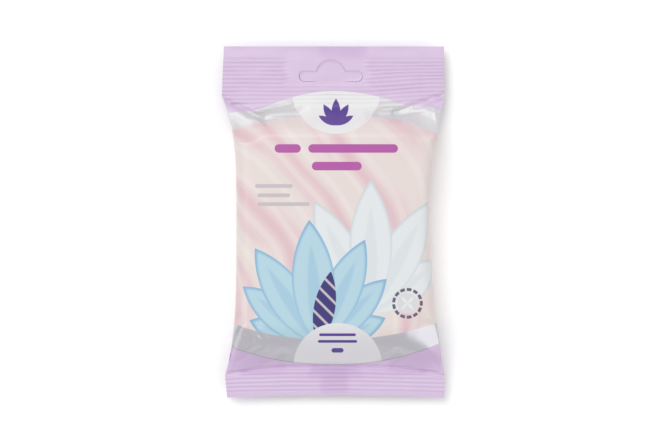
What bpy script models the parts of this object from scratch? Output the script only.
"""Wet wipes pack, lying on its back.

One film tube is closed by a fin seal along its back and by a crimped seal at each end, over a stack of folded
wipes. The sealed pack can't be seen into, so it is one solid. X runs across the pack, Y along it towards the
hanging end, and Z up. The origin is under the middle of the pack, on the surface it lies on.
"""

import math

import bmesh
import bpy
import numpy as np

# Wrap
PACK_LENGTH = 0.141         # between the two cut edges
FLAT_WIDTH = 0.0892         # of the film tube pressed flat, which is the width of its end seals
PACK_THICKNESS = 0.018      # over the middle of the stack
SIDE_ROUNDING = 0.007       # of the wrap round the stack's long edges
SQUARENESS = 2.8            # power of the rolled edges' section over the stack: 2 is round
SIDE_LINE = 0.44            # height of the pack's widest line, as a share of its thickness
CROWN = 0.0012              # rise of the front from its sides to its middle line
SLACK_LEFT = 3.9            # power of the curve from the waist out to the left ends: high is a long straight waist
SLACK_RIGHT = 1.7           # the same on the right, where the stack leaves more room
BOTTOM_CORNER_IN = 0.0013   # how much nearer the middle the lower left corner of the wrap is

# End seals
TOP_SEAL = 0.0232
TOP_FLAT = 0.020            # length at the top end that keeps the film's flat width
BOTTOM_SEAL = 0.0120
BOTTOM_FLAT = 0.0090
SEAL_TAPER = 0.0008         # how much each seal's left end leans in towards its cut edge
SEAL_THICKNESS = 0.0003
SEAL_HEIGHT = 0.0062        # of the seals' roots, at their mid plane
SEAL_DROOP = 0.0016         # fall from a seal's root to its cut edge
BOTTOM_ARCH = 0.0009        # the bottom seal's middle lies this much higher up the pack than its ends
BOTTOM_ROOT_FALL = 0.0022   # how much lower the wrap opens at the ends of the bottom seal than at its middle
TOP_SHOULDER = 0.0140       # length over which the wrap rises from the seal to its full height
BOTTOM_SHOULDER = 0.0180
TOP_STEEPNESS = 2.0         # power of the rise: more keeps the wrap low near the seal, then rises faster
BOTTOM_STEEPNESS = 1.2

# Crimp ribs
RIB_PITCH = 0.00166
RIB_DEPTH = 0.00048
GROOVE_SHARE = 0.42         # of the pitch that a groove takes from the flat ridge
TOP_PLAIN = 0.0044          # strip with no ribs at the top cut edge
BOTTOM_PLAIN = 0.0020

# Hanging slot, die cut in the top seal with its flap still in place
SLOT_WIDTH = 0.0252
SLOT_HEIGHT = 0.0084
SLOT_ARM = 0.0040           # height of the two arms
SLOT_DOME = 0.0114          # width of the dome where it stands on the arms
SLOT_HINGE = 0.0124         # uncut stretch under the flap's middle
SLOT_CUT = 0.0003           # width of the knife's slit
SLOT_SHIFT = -0.0009        # of the slot from the pack's middle line
SLOT_TO_EDGE = 0.0057       # from the dome's top to the cut edge
PATCH_LEFT = 0.0057         # smooth film left between the slot and the ribs, on its left
PATCH_RIGHT = 0.0016
PATCH_BELOW = 0.0011
PATCH_FADE = 0.0022         # length over which the ribs come up to full depth
OPENING = 0.12              # share of the wrap's full height at which the last rib has faded out

# Fin seal on the back
FIN_WIDTH = 0.010
FIN_THICKNESS = 0.0003
FIN_STEP = 0.00025          # width of the step down from its edge to the film

# Mesh density
COLUMNS_INNER = 34
COLUMNS_SIDE = 6            # at each side, round the rolled edge
SIDE_SHARE = 0.22           # of the half width that the rolled edge takes
BODY_ROWS = 13
SHOULDER_ROWS = 12
ARC_STEPS = 8

TOP_EDGE = PACK_LENGTH / 2
BOTTOM_EDGE = -PACK_LENGTH / 2
TOP_ROOT = TOP_EDGE - TOP_SEAL
BOTTOM_ROOT = BOTTOM_EDGE + BOTTOM_SEAL
# The girth is the same all along the tube, so the waist follows from the flat width and the thickness.
WAIST_WIDTH = FLAT_WIDTH - PACK_THICKNESS + (4 - math.pi) * SIDE_ROUNDING
SLOT_BOTTOM = TOP_EDGE - SLOT_TO_EDGE - SLOT_HEIGHT

# Each gather is a crease from one point to another: x as a share of the half width, y from the seal's root towards
# the middle of the pack, then how far its flanks reach and its depth. A negative depth is a ridge.
TOP_GATHERS = (
    ((-0.93, 0.0004), (-0.76, 0.0046), 0.0028, 0.0026),
    ((-0.76, 0.0046), (-0.63, 0.0068), 0.0028, 0.0030),
    ((-0.63, 0.0068), (-0.30, 0.0052), 0.0050, 0.0026),
    ((-0.92, 0.0034), (-0.69, 0.0078), 0.0030, -0.0013),
    ((-0.72, 0.0022), (-0.34, 0.0004), 0.0026, -0.0012),
    ((0.92, 0.0002), (0.76, 0.0014), 0.0028, 0.0026),
    ((0.76, 0.0014), (0.60, 0.0036), 0.0030, 0.0028),
    ((0.60, 0.0036), (0.38, 0.0036), 0.0042, 0.0022),
    ((0.60, 0.0006), (0.36, 0.0004), 0.0026, -0.0011),
    ((0.88, 0.0016), (0.97, 0.0060), 0.0028, -0.0010),
)
BOTTOM_GATHERS = (
    ((-0.97, 0.0010), (-0.90, 0.0210), 0.0022, 0.0011),
    ((-0.86, 0.0135), (-0.84, 0.0165), 0.0022, -0.0005),
    ((-0.72, 0.0125), (-0.70, 0.0150), 0.0022, -0.0005),
    ((0.97, 0.0010), (0.84, 0.0095), 0.0026, 0.0013),
    ((0.84, 0.0095), (0.78, 0.0175), 0.0026, 0.0011),
    ((0.95, 0.0080), (0.96, 0.0190), 0.0030, -0.0009),
    ((-0.62, 0.0004), (-0.46, 0.0058), 0.0026, 0.0008),
    ((0.42, 0.0004), (0.60, 0.0060), 0.0026, 0.0009),
)
BACK_TOP_GATHERS = (
    ((-0.95, 0.0010), (-0.62, 0.0084), 0.0032, 0.0020),
    ((-0.62, 0.0030), (-0.30, 0.0056), 0.0030, 0.0010),
    ((0.94, 0.0010), (0.66, 0.0080), 0.0032, 0.0018),
    ((0.58, 0.0030), (0.28, 0.0050), 0.0030, 0.0010),
)
BACK_BOTTOM_GATHERS = (
    ((-0.95, 0.0010), (-0.70, 0.0100), 0.0032, 0.0017),
    ((0.95, 0.0010), (0.66, 0.0090), 0.0032, 0.0019),
    ((0.50, 0.0024), (0.26, 0.0056), 0.0030, 0.0010),
)

FILM_COLOUR = (0.87, 0.78, 0.89, 1.0)
FILM_ROUGHNESS = 0.32


def clear_scene():
    for obj in list(bpy.data.objects):
        bpy.data.objects.remove(obj, do_unlink=True)


def smooth(value, low, high):
    """0 up to low, 1 from high, with a soft run between."""
    t = np.clip((value - low) / (high - low), 0.0, 1.0)
    return t * t * (3 - 2 * t)


def half_width(y, side):
    """From the middle line to the edge of the wrap at y, on its left (side -1) or right (side 1)."""
    waist = WAIST_WIDTH / 2
    corner = FLAT_WIDTH / 2
    edge, flat = (TOP_EDGE, TOP_FLAT) if y > 0 else (BOTTOM_EDGE, BOTTOM_FLAT)
    past_corner = max(0.0, (abs(y) - abs(edge) + flat) / flat)
    if side < 0:
        corner -= SEAL_TAPER * past_corner
    if side < 0 and y < 0:
        corner -= BOTTOM_CORNER_IN
    power = SLACK_LEFT if side < 0 else SLACK_RIGHT
    return waist + (corner - waist) * min(1.0, abs(y) / (abs(edge) - flat)) ** power


def fullness(y, shares):
    """0 in the end seals and 1 over the stack, at each share of the half width."""
    bottom_root = BOTTOM_ROOT - BOTTOM_ROOT_FALL * shares**4
    from_top = (TOP_ROOT - y) / TOP_SHOULDER
    from_bottom = (y - bottom_root) / (BOTTOM_ROOT + BOTTOM_SHOULDER - bottom_root)
    from_seal = np.clip(np.minimum(from_top, from_bottom), 0.0, 1.0)
    return np.sin(math.pi / 2 * from_seal) ** (TOP_STEEPNESS if y > 0 else BOTTOM_STEEPNESS)


def middle_height(y, full):
    """Height of the plane in which the wrap's side edges and the end seals lie."""
    past_root = max(0.0, (y - TOP_ROOT) / TOP_SEAL, (BOTTOM_ROOT - y) / BOTTOM_SEAL)
    seal = SEAL_HEIGHT - SEAL_DROOP * past_root
    return seal + (SIDE_LINE * PACK_THICKNESS - SEAL_HEIGHT) * full


def roundness(x, half, full):
    """Height of the section at x as a share of its middle: a flat top with rolled edges, or a lens near a seal."""
    roll = half - (half - SIDE_ROUNDING) * full
    into_roll = np.clip((np.abs(x) - (half - roll)) / roll, 0.0, 1.0)
    power = 2 + (SQUARENESS - 2) * full
    return (1 - into_roll**power) ** (1 / power)


def gather_depth(x, y, half, gathers, root):
    """How far the named gathers pull the film in at x, y: each is a crease with flat flanks."""
    depth = np.zeros_like(x)
    inwards = -math.copysign(1.0, root)
    for (from_share, from_y), (to_share, to_y), reach, deep in gathers:
        start = np.array([from_share * half, root + inwards * from_y])
        along = np.array([to_share * half, root + inwards * to_y]) - start
        t = np.clip(((x - start[0]) * along[0] + (y - start[1]) * along[1]) / (along @ along), 0.0, 1.0)
        away = np.hypot(x - start[0] - t * along[0], y - start[1] - t * along[1])
        depth += deep * np.maximum(0.0, 1 - away / reach) ** 1.15
    return depth


def gathered(height, inward):
    """The film's height over the middle plane once pulled in, which never takes it through to the other side."""
    room = np.maximum(height, 1e-6)
    valley = room * (1 - np.exp(-np.maximum(inward, 0.0) / room))
    ridge = np.maximum(-inward, 0.0) * np.minimum(1.0, room / (PACK_THICKNESS / 4))
    return height - valley + ridge


def rib_rows(start, end):
    """(y, share of rib depth) rows of whole ribs that fill the band from start to end."""
    count = max(1, round(abs(end - start) / RIB_PITCH))
    pitch = (end - start) / count
    profile = ((0.0, -1.0), (GROOVE_SHARE / 2, 1.0), (1 - GROOVE_SHARE / 2, 1.0))
    rows = [(start + (i + at) * pitch, level) for i in range(count) for at, level in profile]
    return rows + [(end, -1.0)]


def all_rows():
    """(y, rib level) for every section of the loft, from the bottom cut edge to the top one."""
    rows = [(BOTTOM_EDGE, 0.0)]
    rows += rib_rows(BOTTOM_EDGE + BOTTOM_PLAIN, BOTTOM_ROOT)
    shoulder = np.linspace(0, 1, SHOULDER_ROWS + 1)[1:]
    rows += [(BOTTOM_ROOT + t * BOTTOM_SHOULDER, 0.0) for t in shoulder]
    body = np.linspace(BOTTOM_ROOT + BOTTOM_SHOULDER, TOP_ROOT - TOP_SHOULDER, BODY_ROWS)[1:-1]
    rows += [(y, 0.0) for y in body]
    rows += [(TOP_ROOT - t * TOP_SHOULDER, 0.0) for t in shoulder[::-1]]
    rows += rib_rows(TOP_ROOT, TOP_EDGE - TOP_PLAIN)
    return rows + [(TOP_EDGE, 0.0)]


def column_shares():
    """Places across the film, as shares of the half width: even in the middle and close round the rolled edges."""
    inner = np.linspace(-1 + SIDE_SHARE, 1 - SIDE_SHARE, COLUMNS_INNER + 1)
    rolled = 1 - SIDE_SHARE + SIDE_SHARE * np.sin(np.linspace(0, math.pi / 2, COLUMNS_SIDE + 1)[1:])
    return np.concatenate([-rolled[::-1], inner, rolled])


def back_column_places(shares, left, right):
    """Like the front's columns, with two close pairs on the edges of the fin seal."""
    step = FIN_WIDTH / 2 + FIN_STEP
    marks = np.array([-step, -FIN_WIDTH / 2, FIN_WIDTH / 2, step])
    each_side = (len(shares) - len(marks)) // 2
    spread = shares[-each_side:]
    spread = (spread - spread[0] + 0.02) / (spread[-1] - spread[0] + 0.02)
    from_left = -(step + spread[::-1] * (left - step))
    from_right = step + spread * (right - step)
    middle = [0.0] * (len(shares) - 2 * each_side - len(marks))
    marks = np.concatenate([marks[:2], middle, marks[2:]])
    return np.concatenate([from_left, marks, from_right])


def ribbing(x, y, full):
    """1 where the ribs are at full depth, 0 in the open wrap and in the smooth patch round the hanging slot."""
    sealed = 1 - smooth(full, 0.0, OPENING)
    if y < SLOT_BOTTOM - PATCH_BELOW:
        return sealed
    left = SLOT_SHIFT - SLOT_WIDTH / 2 - PATCH_LEFT
    right = SLOT_SHIFT + SLOT_WIDTH / 2 + PATCH_RIGHT
    patch = smooth(x, left - PATCH_FADE, left) * (1 - smooth(x, right, right + PATCH_FADE))
    return sealed * (1 - patch)


def film_side(x, y, level, left, right, face, gathers):
    """Heights of one film over the resting plane, front (face 1) or back (face -1), at the places x of a row."""
    top_gathers, bottom_gathers = gathers
    half = np.where(x < 0, left, right)
    full = fullness(y, x / half)
    stack = PACK_THICKNESS * SIDE_LINE - FIN_THICKNESS
    if face > 0:
        stack = PACK_THICKNESS * (1 - SIDE_LINE) - CROWN * (x / half) ** 2
    height = (stack - SEAL_THICKNESS / 2) * full * roundness(x, half, full)
    inward = gather_depth(x, y, right, top_gathers, TOP_ROOT)
    inward += gather_depth(x, y, right, bottom_gathers, BOTTOM_ROOT)
    if face < 0:
        inward *= 1 - full
    ribs = RIB_DEPTH / 2 * level * ribbing(x, y, full)
    return middle_height(y, full) + ribs + face * (SEAL_THICKNESS / 2 + gathered(height, inward))


def section(y, level, shares):
    """Points of the closed section at y: the front and the back, each from left to right."""
    left, right = half_width(y, -1), half_width(y, 1)
    front_x = np.where(shares < 0, shares * left, shares * right)
    back_x = back_column_places(shares, left, right)
    front_z = film_side(front_x, y, level, left, right, 1, (TOP_GATHERS, BOTTOM_GATHERS))
    back_z = film_side(back_x, y, level, left, right, -1, (BACK_TOP_GATHERS, BACK_BOTTOM_GATHERS))
    back_z -= FIN_THICKNESS * (np.abs(back_x) <= FIN_WIDTH / 2 + FIN_STEP / 2)

    arch = BOTTOM_ARCH * (1 - smooth(y, BOTTOM_ROOT, BOTTOM_ROOT + BOTTOM_SHOULDER))
    front_y = y + arch * (1 - shares**2)
    back_y = y + arch * (1 - (back_x / np.where(back_x < 0, left, right)) ** 2)
    return list(zip(front_x, front_y, front_z)), list(zip(back_x, back_y, back_z))


def wrap_mesh():
    """The whole wrap as one closed loft through its sections."""
    shares = column_shares()
    bm = bmesh.new()
    rings = []
    for y, level in all_rows():
        front, back = section(y, level, shares)
        rings.append([bm.verts.new(p) for p in front] + [bm.verts.new(p) for p in reversed(back)])
    count = len(rings[0])
    for ring, after in zip(rings, rings[1:]):
        for i in range(count):
            j = (i + 1) % count
            bm.faces.new((ring[i], ring[j], after[j], after[i]))
    for ring in (rings[0], rings[-1]):
        for i in range(count // 2 - 1):
            bm.faces.new((ring[i], ring[i + 1], ring[count - 2 - i], ring[count - 1 - i]))
    bmesh.ops.recalc_face_normals(bm, faces=bm.faces)
    mesh = bpy.data.meshes.new("wipes_pack")
    bm.to_mesh(mesh)
    bm.free()
    return mesh


def arc(centre, radius, start, end):
    """Points of an arc, with its angles in degrees."""
    angles = np.radians(np.linspace(start, end, ARC_STEPS + 1))
    return [(centre[0] + radius * math.cos(a), centre[1] + radius * math.sin(a)) for a in angles]


def slot_outline():
    """The knife's path round the flap: under the left arm, round it, over the dome and back under the right arm."""
    arm = SLOT_ARM / 2
    arm_end = SLOT_WIDTH / 2 - arm
    dome_rise = SLOT_HEIGHT - SLOT_ARM
    dome_radius = ((SLOT_DOME / 2) ** 2 + dome_rise**2) / (2 * dome_rise)
    dome_centre = (0.0, SLOT_HEIGHT - dome_radius)
    reach = math.degrees(math.asin(SLOT_DOME / 2 / dome_radius))
    if dome_radius < dome_rise:
        reach = 180 - reach
    path = [(-SLOT_HINGE / 2, 0.0)]
    path += arc((-arm_end, arm), arm, 270, 90)
    path += arc(dome_centre, dome_radius, 90 + reach, 90 - reach)
    path += arc((arm_end, arm), arm, 90, -90)
    path += [(SLOT_HINGE / 2, 0.0)]
    return [(SLOT_SHIFT + x, SLOT_BOTTOM + y) for x, y in path]


def slot_cutter(collection):
    """A thin wall along the knife's path, which reaches well past the film on both sides."""
    curve = bpy.data.curves.new("slot_knife", "CURVE")
    curve.dimensions = "3D"
    curve.extrude = PACK_THICKNESS / 2
    path = slot_outline()
    spline = curve.splines.new("POLY")
    spline.points.add(len(path) - 1)
    for point, (x, y) in zip(spline.points, path):
        point.co = (x, y, SEAL_HEIGHT, 1.0)
    ribbon = bpy.data.objects.new("slot_ribbon", curve)
    collection.objects.link(ribbon)
    graph = bpy.context.evaluated_depsgraph_get()
    mesh = bpy.data.meshes.new_from_object(ribbon.evaluated_get(graph))
    knife = bpy.data.objects.new("slot_knife", mesh)
    bpy.data.objects.remove(ribbon)
    collection.objects.link(knife)
    wall = knife.modifiers.new("slit", "SOLIDIFY")
    wall.thickness = SLOT_CUT
    wall.offset = 0
    knife.hide_render = True
    knife.display_type = "WIRE"
    return knife


def film_material():
    """Printed film, heat-sealed: pale lilac with a satin gloss."""
    material = bpy.data.materials.new("printed_film")
    material.use_nodes = True
    shader = material.node_tree.nodes["Principled BSDF"]
    shader.inputs["Base Color"].default_value = FILM_COLOUR
    shader.inputs["Roughness"].default_value = FILM_ROUGHNESS
    shader.inputs["Metallic"].default_value = 0.0
    return material


def build():
    clear_scene()
    parts = bpy.data.collections.new("wet_wipes_pack")
    cutters = bpy.data.collections.new("cutters")
    bpy.context.scene.collection.children.link(parts)
    bpy.context.scene.collection.children.link(cutters)

    pack = bpy.data.objects.new("wipes_pack", wrap_mesh())
    parts.objects.link(pack)
    pack.data.materials.append(film_material())
    cut = pack.modifiers.new("hanging_slot", "BOOLEAN")
    cut.operation = "DIFFERENCE"
    cut.solver = "EXACT"
    cut.object = slot_cutter(cutters)
    pack.data.shade_smooth()
    pack.data.set_sharp_from_angle(angle=math.radians(40))


build()
